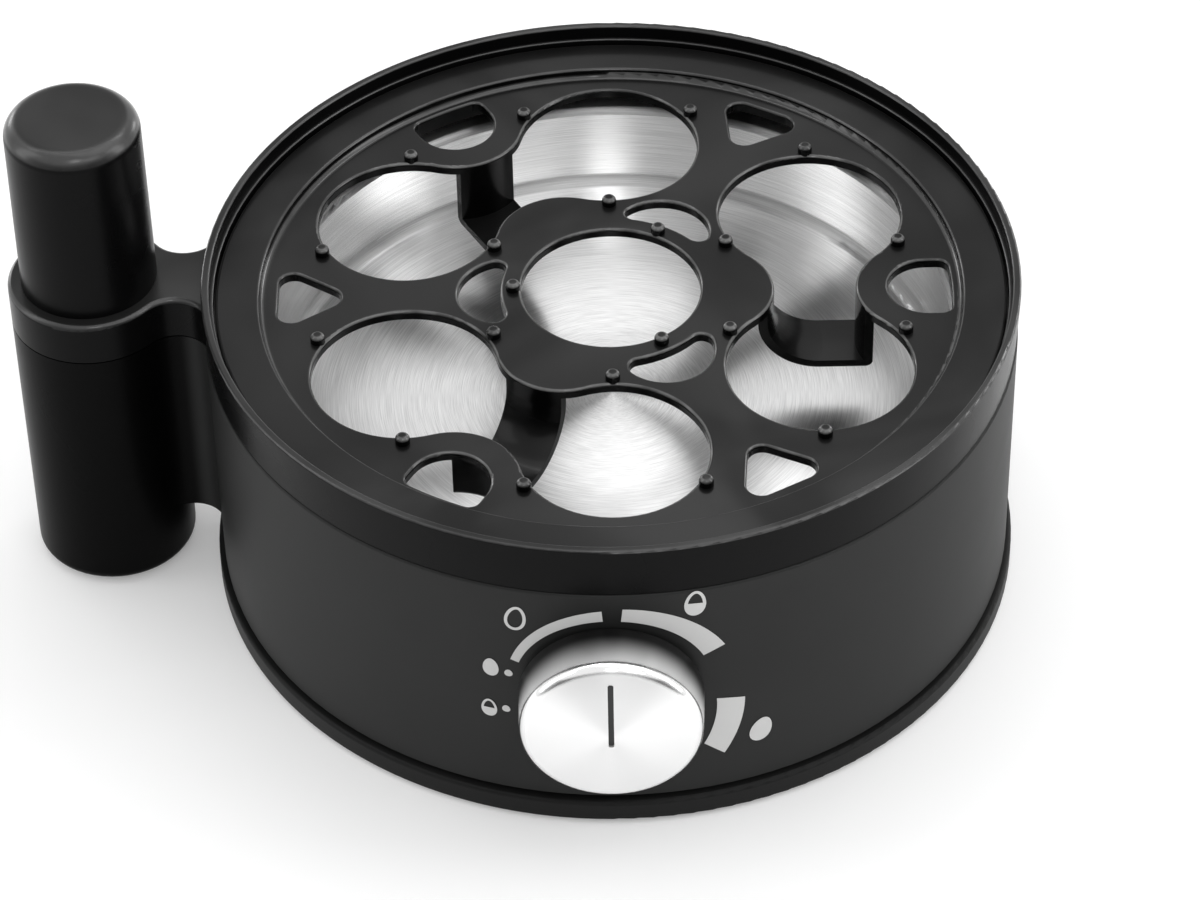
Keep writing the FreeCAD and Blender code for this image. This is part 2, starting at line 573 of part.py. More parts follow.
def is_plate_edge(edge):
    # Edge around a cut-out in the top face of the plate, not the start of the rise or the seam of the disc.
    middle = (edge.FirstParameter + edge.LastParameter) / 2
    spots = [edge.valueAt(place) for place in (edge.FirstParameter, middle, edge.LastParameter)]
    reaches = [math.hypot(spot.x, spot.y) for spot in spots]
    start = value("dome_edge")
    if all(abs(reach - start) < 0.5 for reach in reaches) or all(abs(spot.y) < 1e-6 for spot in spots):
        return False
    for spot, reach in zip(spots, reaches):
        rise = value(dome_at(reach)) if reach < start else 0
        if abs(spot.z - value(plate_top) - rise) > 0.15:
            return False
    return edge.BoundBox.DiagonalLength < value("tray_ring_inner")


def is_vent_corner(edge):
    upright = edge.BoundBox.ZLength > value("plate_thickness") * 0.97
    if not upright or edge.Curve.TypeId != "Part::GeomLine":
        return False
    spot = edge.CenterOfMass
    reach = math.hypot(spot.x, spot.y)
    meet = value("crescent_inner")
    return abs(reach - meet) < 1e-3 or abs(reach - value("lobe_vent_outer")) < 1e-3


def add_spoke_vent(sketch):
    half = "(spoke_vent_width / 2)"
    add_outline(sketch, [
        ("-spoke_vent_tip", "0", "spoke_vent_round"), ("-spoke_vent_outer", half, "spoke_vent_round"),
        ("-spoke_vent_outer", f"-{half}", "spoke_vent_round")])


def group(label, source, spots):
    # Copies of one fastener or foot, as separate solids in one piece.
    doc.recompute()
    copies = []
    for x, y in spots:
        copy = source.Shape.copy()
        copy.translate(FreeCAD.Vector(x, y, 0))
        copies.append(copy)
    piece = doc.addObject("Part::Feature", label)
    piece.Label = label
    piece.Shape = Part.makeCompound(copies)
    return piece


def around(radius, start, count):
    turns = [math.radians(start + 360 / count * i) for i in range(count)]
    return [(radius * math.cos(turn), radius * math.sin(turn)) for turn in turns]


def make_base_screws():
    screw = new_body("base_screw")
    tip = f"({boss_foot} + screw_grip)"
    revolve(screw, "screw", [
        ("0", "foot_lift"), ("screw_head", "foot_lift"), ("screw_head", head_seat),
        ("screw_shank", head_seat), ("screw_shank", tip), ("0", tip)])
    return group("base_screws", screw, around(value("boss_circle"), 45, 4))


def make_rubber_feet():
    foot = new_body("rubber_foot")
    revolve(foot, "foot", [
        ("0", "0"), ("foot_radius - fit_gap / 2", "0", "foot_lift * 0.6"),
        ("foot_radius - fit_gap / 2", "foot_lift + foot_sink"), ("0", "foot_lift + foot_sink")])
    return group("rubber_feet", foot, around(value("foot_circle"), 0, 4))


def make_grip_screw():
    body = new_body("grip_screw")
    head = f"({collar_foot} - screw_head_height)"
    tip = f"({arm_top} + screw_grip)"
    revolve(body, "screw", [
        ("0", head), ("screw_head", head), ("screw_head", collar_foot), ("screw_shank", collar_foot),
        ("screw_shank", tip), ("0", tip)])
    body.setExpression("Placement.Base.x", tied("-grip_reach"))
    body.setExpression("Placement.Base.y", tied("grip_offset"))
    return body


pan_inner = "(pan_wall - pan_sheet)"
spreader_top = "(pan_floor_height - pan_sheet)"
spreader_foot = f"({spreader_top} - spreader_thickness)"
element_height = f"({spreader_foot} - element_radius + element_sink)"


def make_heating_pan():
    body = new_body("heating_pan")
    flange_foot = f"({pan_top} - pan_sheet)"
    revolve(body, "dish", [
        ("0", "pan_floor_height"), (pan_inner, "pan_floor_height", "pan_round"),
        (pan_inner, pan_top, "pan_sheet * 2"), ("pan_flange", pan_top), ("pan_flange", flange_foot),
        ("pan_wall", flange_foot, "pan_sheet"), ("pan_wall", spreader_top, "pan_round + pan_sheet"),
        ("0", spreader_top)])
    return body


def make_pan_seal():
    body = new_body("pan_seal")
    seal_inner = "(pan_flange - seal_width)"
    seal_top = f"({shelf_top} + seal_thickness)"
    revolve(body, "seal", [
        (seal_inner, shelf_top), ("pan_flange", shelf_top), ("pan_flange", seal_top),
        (seal_inner, seal_top)])
    return body


def make_torus(name, tube):
    torus = doc.addObject("Part::Torus", name)
    torus.setExpression("Radius1", tied("element_circle"))
    torus.setExpression("Radius2", tied(tube))
    torus.setExpression("Placement.Base.z", tied(element_height))
    return torus


def make_heat_spreader():
    disc = doc.addObject("Part::Cylinder", "spreader_disc")
    disc.setExpression("Radius", tied("spreader_radius"))
    disc.setExpression("Height", tied("spreader_thickness"))
    disc.setExpression("Placement.Base.z", tied(spreader_foot))
    spreader = doc.addObject("Part::Cut", "heat_spreader")
    spreader.Label = "heat_spreader"
    spreader.Base = disc
    spreader.Tool = make_torus("element_groove", "element_radius + shaft_play")
    return spreader


element_turn = 330
element_start = 90 + (360 - element_turn) / 2


def make_heating_element():
    element = make_torus("heating_element", "element_radius")
    element.Label = "heating_element"
    element.Angle3 = element_turn
    element.Placement.Rotation = FreeCAD.Rotation(FreeCAD.Vector(0, 0, 1), element_start)
    return element


def make_element_terminals():
    pin = doc.addObject("Part::Cylinder", "element_terminal")
    pin.setExpression("Radius", tied("terminal_radius"))
    pin.setExpression("Height", tied("terminal_length"))
    pin.setExpression("Placement.Base.z", tied(f"{element_height} - element_radius - terminal_length"))
    doc.recompute()
    inset = math.degrees(value("terminal_radius") / value("element_circle"))
    turns = [math.radians(element_start + inset), math.radians(180 - element_start - inset)]
    circle = value("element_circle")
    spots = [(circle * math.cos(turn), circle * math.sin(turn)) for turn in turns]
    return group("element_terminals", pin, spots)


# Dial and regulator: modelled along +Z from the back of the dial, then laid to face the front
def face_front(piece):
    piece.Placement.Rotation = FreeCAD.Rotation(FreeCAD.Vector(1, 0, 0), 90)
    piece.setExpression("Placement.Base.y", tied("-shell_radius - dial_gap"))
    piece.setExpression("Placement.Base.z", tied("dial_height"))
    return piece


dial_shoulder = "(dial_depth - dial_dome)"
switch_face = "(-dial_gap - shell_wall - switch_gap)"


def add_pointer(sketch):
    half = "(pointer_width / 2)"
    top = "(pointer_centre + pointer_length / 2)"
    foot = "(pointer_centre - pointer_length / 2)"
    add_outline(sketch, [
        (half, foot, "pointer_width * 0.4"), (half, top, "pointer_width * 0.4"),
        (f"-{half}", top, "pointer_width * 0.4"), (f"-{half}", foot, "pointer_width * 0.4")])


def make_knob_cap():
    body = new_body("knob_cap")
    sketch = new_sketch(body, "cap_profile", "XZ_Plane")
    spots = [("0", "dial_depth"), ("0", "dial_depth - dial_wall"),
             ("dial_front_radius - dial_wall", f"{dial_shoulder} - dial_wall"),
             ("dial_back_radius - dial_wall", "0"), ("dial_back_radius", "0"),
             ("dial_front_radius", dial_shoulder)]
    points = [FreeCAD.Vector(value(across), value(along), 0) for across, along in spots]
    for i in range(len(points) - 1):
        sketch.addGeometry(Part.LineSegment(points[i], points[i + 1]))
        place_point(sketch, i, 1, *spots[i])
        if i:
            sketch.addConstraint(Sketcher.Constraint("Coincident", i - 1, 2, i, 1))
    last = len(points) - 2
    place_point(sketch, last, 2, *spots[-1])
    radius = value("dial_front_radius")
    half_way = points[0] + FreeCAD.Vector(radius / 2, -value("dial_dome") / 4, 0)
    dome = sketch.addGeometry(Part.Arc(points[-1], half_way, points[0]))
    for line, line_end, spot in ((last, 2, points[-1]), (0, 1, points[0])):
        dome_end = nearest_end(sketch, dome, spot)
        sketch.addConstraint(Sketcher.Constraint("Coincident", line, line_end, dome, dome_end))
    sketch.addConstraint(Sketcher.Constraint("PointOnObject", dome, 3, -2))
    feature = body.newObject("PartDesign::Revolution", "cap")
    feature.Profile = sketch
    feature.ReferenceAxis = (sketch, ["V_Axis"])
    feature.Angle = 360
    body.Tip = feature
    round_edges(body, "cap_edge", "dial_edge", lambda edge: at_height(edge, value(dial_shoulder)))
    slot = new_sketch(body, "pointer_slot_plan", height="dial_depth")
    add_pointer(slot)
    pocket(body, "pointer_slot", slot, "pointer_sink + pointer_depth")
    return face_front(body)


def make_knob_pointer():
    body = new_body("knob_pointer")
    plan = new_sketch(body, "pointer_plan", height="dial_depth - pointer_sink - pointer_depth")
    add_pointer(plan)
    pad(body, "inlay", plan, "pointer_depth")
    return face_front(body)


def make_knob_hub():
    body = new_body("knob_hub")
    bore = "(shaft_radius + shaft_play)"
    hub_top = f"({dial_shoulder} - dial_wall)"
    disc_foot = f"({hub_top} - dial_wall)"
    disc_radius = "(dial_front_radius - dial_wall - fit_gap / 2)"
    revolve(body, "hub", [
        (bore, hub_foot), ("hub_radius", hub_foot), ("hub_radius", disc_foot),
        (disc_radius, disc_foot), (disc_radius, hub_top), (bore, hub_top)])
    return face_front(body)


hub_foot = "(nut_thickness + dial_gap)"


def make_control_shaft():
    body = new_body("control_shaft")
    tail = f"({switch_face} - shaft_tail)"
    plan = new_sketch(body, "shaft_plan", height=tail)
    add_circle(plan, "0", "0", "shaft_radius")
    pad(body, "shaft", plan, f"shaft_reach - {tail}")
    flat = new_sketch(body, "flat_plan", height="shaft_reach")
    add_outline(flat, [
        ("-shaft_radius", "shaft_radius - shaft_flat"), ("shaft_radius", "shaft_radius - shaft_flat"),
        ("shaft_radius", "shaft_radius * 2"), ("-shaft_radius", "shaft_radius * 2")])
    pocket(body, "flat", flat, f"shaft_reach - {hub_foot}")
    return face_front(body)


def make_control_switch():
    body = new_body("control_switch")
    half_width = "(switch_width / 2)"
    half_height = "(switch_height / 2)"
    plan = new_sketch(body, "case_plan", height=f"{switch_face} - switch_depth")
    add_outline(plan, [
        (half_width, half_height, "switch_round"), (f"-{half_width}", half_height, "switch_round"),
        (f"-{half_width}", f"-{half_height}", "switch_round"),
        (half_width, f"-{half_height}", "switch_round")])
    pad(body, "case", plan, "switch_depth")
    neck = new_sketch(body, "bushing_plan", height=switch_face)
    add_circle(neck, "0", "0", "bushing_radius")
    pad(body, "bushing", neck, f"{hub_foot} - dial_gap / 2 - {switch_face}")
    bore = new_sketch(body, "shaft_bore_plan", height=f"{switch_face} - shaft_tail - fit_gap")
    add_circle(bore, "0", "0", "shaft_radius + shaft_play")
    pocket(body, "shaft_bore", bore, f"shaft_reach - {switch_face} + shaft_tail", upwards=True)
    return face_front(body)


def make_switch_nut():
    prism = doc.addObject("Part::Prism", "nut_block")
    prism.Polygon = 6
    prism.setExpression("Circumradius", tied("nut_width / 2 / cos(30)"))
    prism.setExpression("Height", tied("nut_thickness"))
    bore = doc.addObject("Part::Cylinder", "nut_bore")
    bore.setExpression("Radius", tied("bushing_radius + shaft_play"))
    bore.setExpression("Height", tied("nut_thickness"))
    nut = doc.addObject("Part::Cut", "switch_nut")
    nut.Label = "switch_nut"
    nut.Base = prism
    nut.Tool = bore
    nut.Placement.Rotation = FreeCAD.Rotation(FreeCAD.Vector(1, 0, 0), 90)
    nut.setExpression("Placement.Base.y", tied("-shell_radius - shaft_play"))
    nut.setExpression("Placement.Base.z", tied("dial_height"))
    return nut


def make_cord_gland():
    body = new_body("cord_gland")
    inside = "(-shell_wall - gland_tail)"
    revolve(body, "gland", [
        ("gland_bore", inside), ("gland_radius", inside), ("gland_radius", "0"), ("gland_flange", "0"),
        ("gland_flange", "gland_flange_depth", "gland_flange_depth * 0.6"),
        ("gland_bore", "gland_flange_depth")])
    body.Placement.Rotation = FreeCAD.Rotation(FreeCAD.Vector(1, 0, 0), -90)
    body.setExpression("Placement.Base.y", tied("shell_radius + shaft_play"))
    body.setExpression("Placement.Base.z", tied("gland_height"))
    return body


# Sensors under the heater and electrics on the floor
def make_cylinder(label, radius, height, foot, x="0", y="0"):
    cylinder = doc.addObject("Part::Cylinder", label)
    cylinder.Label = label
    cylinder.setExpression("Radius", tied(radius))
    cylinder.setExpression("Height", tied(height))
    cylinder.setExpression("Placement.Base.x", tied(x))
    cylinder.setExpression("Placement.Base.y", tied(y))
    cylinder.setExpression("Placement.Base.z", tied(foot))
    return cylinder


def make_thermostat_bracket():
    body = new_body("thermostat_bracket")
    inner = "(sensor_radius + fit_gap)"
    outer = f"({inner} + bracket_thickness)"
    foot = f"({spreader_foot} - sensor_height - bracket_thickness)"
    wing = f"({outer} + bracket_width)"
    wing_foot = f"({spreader_foot} - bracket_thickness)"
    plan = new_sketch(body, "strip_profile", "XZ_Plane", "-bracket_width / 2")
    add_outline(plan, [
        (f"-{wing}", spreader_foot), (f"-{wing}", wing_foot), (f"-{outer}", wing_foot),
        (f"-{outer}", foot), (outer, foot), (outer, wing_foot), (wing, wing_foot),
        (wing, spreader_foot), (inner, spreader_foot), (inner, f"{foot} + bracket_thickness"),
        (f"-{inner}", f"{foot} + bracket_thickness"), (f"-{inner}", spreader_foot)])
    pad(body, "strip", plan, "bracket_width")
    return body


def make_thermal_fuse():
    fuse = make_cylinder("thermal_fuse", "fuse_radius", "fuse_length",
                         f"{spreader_foot} - fuse_radius - shaft_play", "-fuse_length / 2", "fuse_place")
    fuse.Placement.Rotation = FreeCAD.Rotation(FreeCAD.Vector(0, 1, 0), 90)
    return fuse


def make_terminal_block():
    block = doc.addObject("Part::Box", "terminal_block")
    block.Label = "terminal_block"
    block.setExpression("Length", tied("block_length"))
    block.setExpression("Width", tied("block_width"))
    block.setExpression("Height", tied("block_height"))
    block.setExpression("Placement.Base.x", tied("-block_length / 2"))
    block.setExpression("Placement.Base.y", tied("block_place"))
    block.setExpression("Placement.Base.z", tied(floor_top))
    return block


pieces = [
    make_body_shell(), make_base_plate(), make_base_screws(), make_rubber_feet(),
    make_carrier_ring(), make_grip_post(), make_grip_screw(), make_egg_tray(),
    make_heating_pan(), make_pan_seal(), make_heat_spreader(), make_heating_element(),
    make_element_terminals(),
    make_cylinder("thermostat", "sensor_radius", "sensor_height", f"{spreader_foot} - sensor_height"),
    make_thermostat_bracket(), make_thermal_fuse(), make_terminal_block(),
    make_cylinder("buzzer", "buzzer_radius", "buzzer_height", floor_top, "buzzer_place", "buzzer_place"),
    make_control_switch(), make_switch_nut(), make_control_shaft(), make_knob_hub(), make_knob_cap(),
    make_knob_pointer(), make_cord_gland()]
doc.recompute()
for item in doc.Objects:
    if "Invalid" in item.State or "Error" in item.State:
        raise RuntimeError(f"{item.Label}: {item.State}")
for piece in pieces:
    if piece.Shape.isNull() or not piece.Shape.isValid():
        raise RuntimeError(f"{piece.Label} is not a valid shape")
os.makedirs("parts", exist_ok=True)
for piece in pieces:
    piece.Shape.exportStep(f"parts/{piece.Label}.step")
    print(piece.Label, len(piece.Shape.Solids), round(piece.Shape.Volume), piece.Shape.BoundBox)
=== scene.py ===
import math

import bpy
from mathutils import Matrix, Vector


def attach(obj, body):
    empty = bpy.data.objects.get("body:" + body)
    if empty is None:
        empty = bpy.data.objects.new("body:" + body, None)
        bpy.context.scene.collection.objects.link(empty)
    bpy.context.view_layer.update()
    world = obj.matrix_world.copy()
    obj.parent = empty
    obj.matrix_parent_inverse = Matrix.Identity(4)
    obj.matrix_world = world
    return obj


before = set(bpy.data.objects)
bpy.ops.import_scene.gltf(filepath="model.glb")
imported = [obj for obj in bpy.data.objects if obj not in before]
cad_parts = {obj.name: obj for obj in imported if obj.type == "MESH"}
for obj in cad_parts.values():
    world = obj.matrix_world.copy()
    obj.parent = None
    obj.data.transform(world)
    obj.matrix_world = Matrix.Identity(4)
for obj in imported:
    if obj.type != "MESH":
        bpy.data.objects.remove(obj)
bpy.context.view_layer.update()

scene = bpy.context.scene
mm = 0.001


# small node helpers shared by all the finishes
def addNode(tree, kind, **settings):
    node = tree.nodes.new(kind)
    for name, setting in settings.items():
        setattr(node, name, setting)
    return node


def setInputs(node, **amounts):
    for name, amount in amounts.items():
        node.inputs[name.replace("_", " ")].default_value = amount


def feed(tree, socket, amount):
    # a number is set on the socket, anything else is linked to it
    if isinstance(amount, float):
        socket.default_value = amount
    else:
        tree.links.new(amount, socket)


def mathNode(tree, operation, *amounts):
    node = addNode(tree, "ShaderNodeMath", operation=operation)
    for socket, amount in zip(node.inputs, amounts):
        feed(tree, socket, amount)
    return node.outputs["Value"]


def rangeNode(tree, source, begin, end, low, high, **settings):
    node = addNode(tree, "ShaderNodeMapRange", **settings)
    limits = {"Value": source, "From Min": begin, "From Max": end, "To Min": low, "To Max": high}
    for name, amount in limits.items():
        feed(tree, node.inputs[name], amount)
    return node.outputs["Result"]


def mixValue(tree, factor, low, high):
    return rangeNode(tree, factor, 0.0, 1.0, low, high)


def smoothMask(tree, source, begin, end):
    return rangeNode(tree, source, begin, end, 0.0, 1.0, interpolation_type="SMOOTHSTEP")


def noiseNode(tree, vector, **amounts):
    noise = addNode(tree, "ShaderNodeTexNoise")
    tree.links.new(vector, noise.inputs["Vector"])
    for name, amount in amounts.items():
        feed(tree, noise.inputs[name], amount)
    return noise.outputs["Fac"]


def bumpNode(tree, height, strength, distance):
    bump = addNode(tree, "ShaderNodeBump")
    setInputs(bump, Strength=strength, Distance=distance)
    tree.links.new(height, bump.inputs["Height"])
    return bump


def mixColor(tree, factor, first):
    mix = addNode(tree, "ShaderNodeMix", data_type="RGBA")
    tree.links.new(factor, mix.inputs["Factor"])
    tree.links.new(first, mix.inputs["A"])
    return mix


def coordsOf(tree, output):
    return addNode(tree, "ShaderNodeTexCoord").outputs[output]


def splitVector(tree, vector):
    split = addNode(tree, "ShaderNodeSeparateXYZ")
    tree.links.new(vector, split.inputs[0])
    return split.outputs


def joinVector(tree, **parts):
    joined = addNode(tree, "ShaderNodeCombineXYZ")
    for name, part in parts.items():
        tree.links.new(part, joined.inputs[name])
    return joined.outputs[0]


def vectorNode(tree, operation, *vectors):
    node = addNode(tree, "ShaderNodeVectorMath", operation=operation)
    for socket, vector in zip(node.inputs, vectors):
        tree.links.new(vector, socket)
    return node


def flatRadius(tree, parts):
    return vectorNode(tree, "LENGTH", joinVector(tree, X=parts["X"], Y=parts["Y"])).outputs["Value"]


# shared effects: all their sockets are plain values apart from these two
socketKinds = {"Color": "NodeSocketColor", "Vector": "NodeSocketVector"}


def newGroup(name, inputs, outputs):
    group = bpy.data.node_groups.new(name, "ShaderNodeTree")
    for direction, socketNames in (("INPUT", inputs), ("OUTPUT", outputs)):
        for socketName in socketNames:
            kind = socketKinds.get(socketName, "NodeSocketFloat")
            group.interface.new_socket(name=socketName, in_out=direction, socket_type=kind)
    source = addNode(group, "NodeGroupInput").outputs
    result = addNode(group, "NodeGroupOutput").inputs
    return group, source, result


# moulded plastic: fine spark-eroded grain, slow flow mottling and a little unevenness in the gloss
mouldedLook = {"grainDetail": 3.0, "grainRoughness": 0.6, "flowScale": 28.0, "flowDetail": 4.0,
               "flowRoughness": 0.55, "flowBend": 0.6, "flowLow": 0.3, "flowHigh": 0.7, "glossShift": 0.05}


def makeMouldedSkin():
    group, source, result = newGroup(
        "mouldedSkin", ("Color", "Roughness", "Grain", "Mottle"), ("Color", "Roughness", "Height"))
    look = mouldedLook
    link = group.links.new
    place = coordsOf(group, "Object")
    grain = noiseNode(group, place, Scale=source["Grain"], Detail=look["grainDetail"],
                      Roughness=look["grainRoughness"])
    flow = noiseNode(group, place, Scale=look["flowScale"], Detail=look["flowDetail"],
                     Roughness=look["flowRoughness"], Distortion=look["flowBend"])
    swing = rangeNode(group, flow, look["flowLow"], look["flowHigh"], -1.0, 1.0)
    tinted = vectorNode(group, "SCALE", source["Color"])
    link(mathNode(group, "MULTIPLY_ADD", swing, source["Mottle"], 1.0), tinted.inputs["Scale"])
    shift = mathNode(group, "MULTIPLY", swing, look["glossShift"])
    link(tinted.outputs["Vector"], result["Color"])
    link(mathNode(group, "ADD", source["Roughness"], shift), result["Roughness"])
    link(grain, result["Height"])
    return group


# handling and painted highlight: the tops are polished in clouds, and their rounded edges are painted paler
# in patches, a painted highlight
handlingAndHighlightLook = {"topLow": 0.15, "topHigh": 0.6, "edgeBegin": 0.2, "edgeFull": 0.5, "edgeFade": 0.9,
                "edgeEnd": 0.985, "blend": 0.001, "patchScale": 160.0, "patchDetail": 3.0, "patchLow": 0.2,
                "patchHigh": 0.6, "cloudScale": 22.0, "cloudDetail": 2.0, "cloudBend": 0.8, "cloudLow": 0.3,
                "cloudHigh": 0.7, "dull": 0.4, "bright": 1.35}


def makeHandledTopAndHighlight():
    group, source, result = newGroup(
        "handledTopAndHighlight", ("Lowest", "Reach", "Beyond", "Polish"), ("Top", "PaintedHighlight", "Coat"))
    look = handlingAndHighlightLook
    link = group.links.new
    rise = splitVector(group, coordsOf(group, "Normal"))["Z"]
    place = coordsOf(group, "Object")
    parts = splitVector(group, place)
    top = smoothMask(group, rise, look["topLow"], look["topHigh"])
    # rounded edges above the lowest place
    edges = mathNode(group, "MULTIPLY", smoothMask(group, rise, look["edgeBegin"], look["edgeFull"]),
                     smoothMask(group, rise, look["edgeEnd"], look["edgeFade"]))
    highEnough = mathNode(group, "ADD", source["Lowest"], look["blend"])
    rounded = mathNode(group, "MULTIPLY", edges,
                       smoothMask(group, parts["Z"], source["Lowest"], highEnough))
    # patches of painted highlight, fewer beyond the reach
    patchy = noiseNode(group, place, Scale=look["patchScale"], Detail=look["patchDetail"])
    farEnough = mathNode(group, "ADD", source["Reach"], look["blend"])
    far = smoothMask(group, flatRadius(group, parts), source["Reach"], farEnough)
    patches = mathNode(group, "MULTIPLY", smoothMask(group, patchy, look["patchLow"], look["patchHigh"]),
                       mixValue(group, far, 1.0, source["Beyond"]))
    cloudy = noiseNode(group, place, Scale=look["cloudScale"], Detail=look["cloudDetail"],
                       Distortion=look["cloudBend"])
    cloudy = smoothMask(group, cloudy, look["cloudLow"], look["cloudHigh"])
    clouds = mixValue(group, cloudy, look["dull"], look["bright"])
    polish = mixValue(group, top, 0.0, mathNode(group, "MULTIPLY", clouds, source["Polish"]))
    link(top, result["Top"])
    # the painted highlight: rounded edges, in patches
    link(mathNode(group, "MULTIPLY", rounded, patches), result["PaintedHighlight"])
    link(mixValue(group, rounded, polish, 1.0), result["Coat"])
    return group


# turned metal: fine lines around the axis, which is the z axis of the vector that comes in
turnedLook = {"detail": 2.0, "roughness": 0.7, "height": 0.0002, "spread": 0.25}  # spread: across the lines


def makeTurnedLines():
    group, source, result = newGroup(
        "turnedLines", ("Vector", "Scale", "Stroke"), ("Lines", "Radius", "Along"))
    link = group.links.new
    parts = splitVector(group, source["Vector"])
    radius = flatRadius(group, parts)
    # quick along the radius and the axis, slow along the turn
    facing = vectorNode(group, "NORMALIZE", joinVector(group, X=parts["X"], Y=parts["Y"]))
    slow = vectorNode(group, "SCALE", facing.outputs["Vector"])
    link(source["Stroke"], slow.inputs["Scale"])
    quick = joinVector(group, Z=mathNode(group, "ADD", radius, parts["Z"]))
    stroke = vectorNode(group, "ADD", slow.outputs["Vector"], quick)
    lines = noiseNode(group, stroke.outputs["Vector"], Scale=source["Scale"],
                      Detail=turnedLook["detail"], Roughness=turnedLook["roughness"])
    link(lines, result["Lines"])
    link(radius, result["Radius"])
    link(parts["Z"], result["Along"])
    return group


mouldedSkin = makeMouldedSkin()
handledTopAndHighlight = makeHandledTopAndHighlight()
turnedLines = makeTurnedLines()
print("finishes: shared groups made")


def newMaterial(name, color, metallic=0.0, specular=0.5):
    material = bpy.data.materials.new(name)
    material.use_nodes = True
    shader = material.node_tree.nodes["Principled BSDF"]
    setInputs(shader, Base_Color=(*color, 1), Metallic=metallic, Specular_IOR_Level=specular)
    material.diffuse_color = (*color, 1)
    return material, material.node_tree, shader


grainHeight = 0.4 * mm


def mouldedMaterial(name, color, roughness, grain=2600.0, depth=0.02, mottle=0.15, metallic=0.0,
                    specular=0.5):
    material, tree, shader = newMaterial(name, color, metallic, specular)
    skin = addNode(tree, "ShaderNodeGroup", node_tree=mouldedSkin)
    setInputs(skin, Color=(*color, 1), Roughness=roughness, Grain=grain, Mottle=mottle)
    bump = bumpNode(tree, skin.outputs["Height"], depth, grainHeight)
    tree.links.new(skin.outputs["Color"], shader.inputs["Base Color"])
    tree.links.new(skin.outputs["Roughness"], shader.inputs["Roughness"])
    tree.links.new(bump.outputs["Normal"], shader.inputs["Normal"])
    return material


def dress(material, *nodeNames):
    for nodeName in nodeNames:
        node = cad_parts[nodeName]
        node.data.materials.clear()
        node.data.materials.append(material)


def blendSkin(material, mask, other):
    # a second colour and gloss, with the grain and mottling of the first, where the mask is one
    tree = material.node_tree
    link = tree.links.new
    shader = tree.nodes["Principled BSDF"]
    first = shader.inputs["Base Color"].links[0].from_node
    second = addNode(tree, "ShaderNodeGroup", node_tree=mouldedSkin)
    setInputs(second, Color=(*other["color"], 1), Roughness=other["roughness"])
    for name in ("Grain", "Mottle"):
        second.inputs[name].default_value = first.inputs[name].default_value
    tone = mixColor(tree, mask, first.outputs["Color"])
    link(second.outputs["Color"], tone.inputs["B"])
    link(tone.outputs["Result"], shader.inputs["Base Color"])
    gloss = mixValue(tree, mask, first.outputs["Roughness"], second.outputs["Roughness"])
    link(gloss, shader.inputs["Roughness"])


# body: satin black wall, polished black grip column
bodySkin = {"color": (0.0155, 0.0158, 0.0156), "roughness": 0.5, "grain": 2200.0, "depth": 0.05,
            "specular": 0.03}
bodySheen = {"roughness": 0.5, "wall": 0.36, "grip": 0.05}
gripSkin = {"color": (0.0008, 0.0008, 0.0008), "roughness": 0.3, "start": -0.0955, "blend": 0.004}


def bodyMaterial():
    material = mouldedMaterial("satinBlackBody", **bodySkin)
    tree = material.node_tree
    shader = tree.nodes["Principled BSDF"]
    side = splitVector(tree, coordsOf(tree, "Object"))["X"]
    grip = smoothMask(tree, side, gripSkin["start"] + gripSkin["blend"], gripSkin["start"])
    blendSkin(material, grip, gripSkin)
    setInputs(shader, Coat_Roughness=bodySheen["roughness"])
    sheen = mixValue(tree, grip, bodySheen["wall"], bodySheen["grip"])
    tree.links.new(sheen, shader.inputs["Coat Weight"])
    return material


baseSkin = {"color": (0.0105, 0.0106, 0.0105), "roughness": 0.45, "grain": 2200.0, "depth": 0.05,
            "specular": 0.12}
dress(bodyMaterial(), "body_shell")
dress(mouldedMaterial("satinBlackBase", **baseSkin), "base_plate", "cord_gland")

# collar and tray: tops painted lighter than the polished black sides (painted light from above), rounded
# edges painted paler in patches (painted highlight)
collarSkin = {"color": (0.0022, 0.0022, 0.0023), "roughness": 0.28, "grain": 2600.0, "depth": 0.03,
              "mottle": 0.15, "specular": 0.075}
# collar top colour: painted lighter than the sides, painted light from above
collarTopPaintedLighter = {"color": (0.012, 0.012, 0.0119), "roughness": 0.4, "gloss": 0.24, "polish": 0.6}
# collar edge colour: a painted highlight along the rounded edges
collarEdgeHighlight = {"color": (0.03, 0.03, 0.03), "lowest": 0.05, "reach": 0.2, "beyond": 1.0}
traySkin = {"color": (0.0015, 0.0015, 0.0015), "roughness": 0.2, "grain": 1800.0, "depth": 0.02,
            "mottle": 0.22, "specular": 0.1}
# tray top colour: painted lighter than the sides, painted light from above
trayTopPaintedLighter = {"color": (0.004, 0.004, 0.004), "roughness": 0.36, "gloss": 0.16, "polish": 0.36}
# tray edge colour: a painted highlight along the rounded edges
trayEdgeHighlight = {"color": (0.09, 0.09, 0.089), "lowest": 0.07, "reach": 0.0695, "beyond": 0.25}


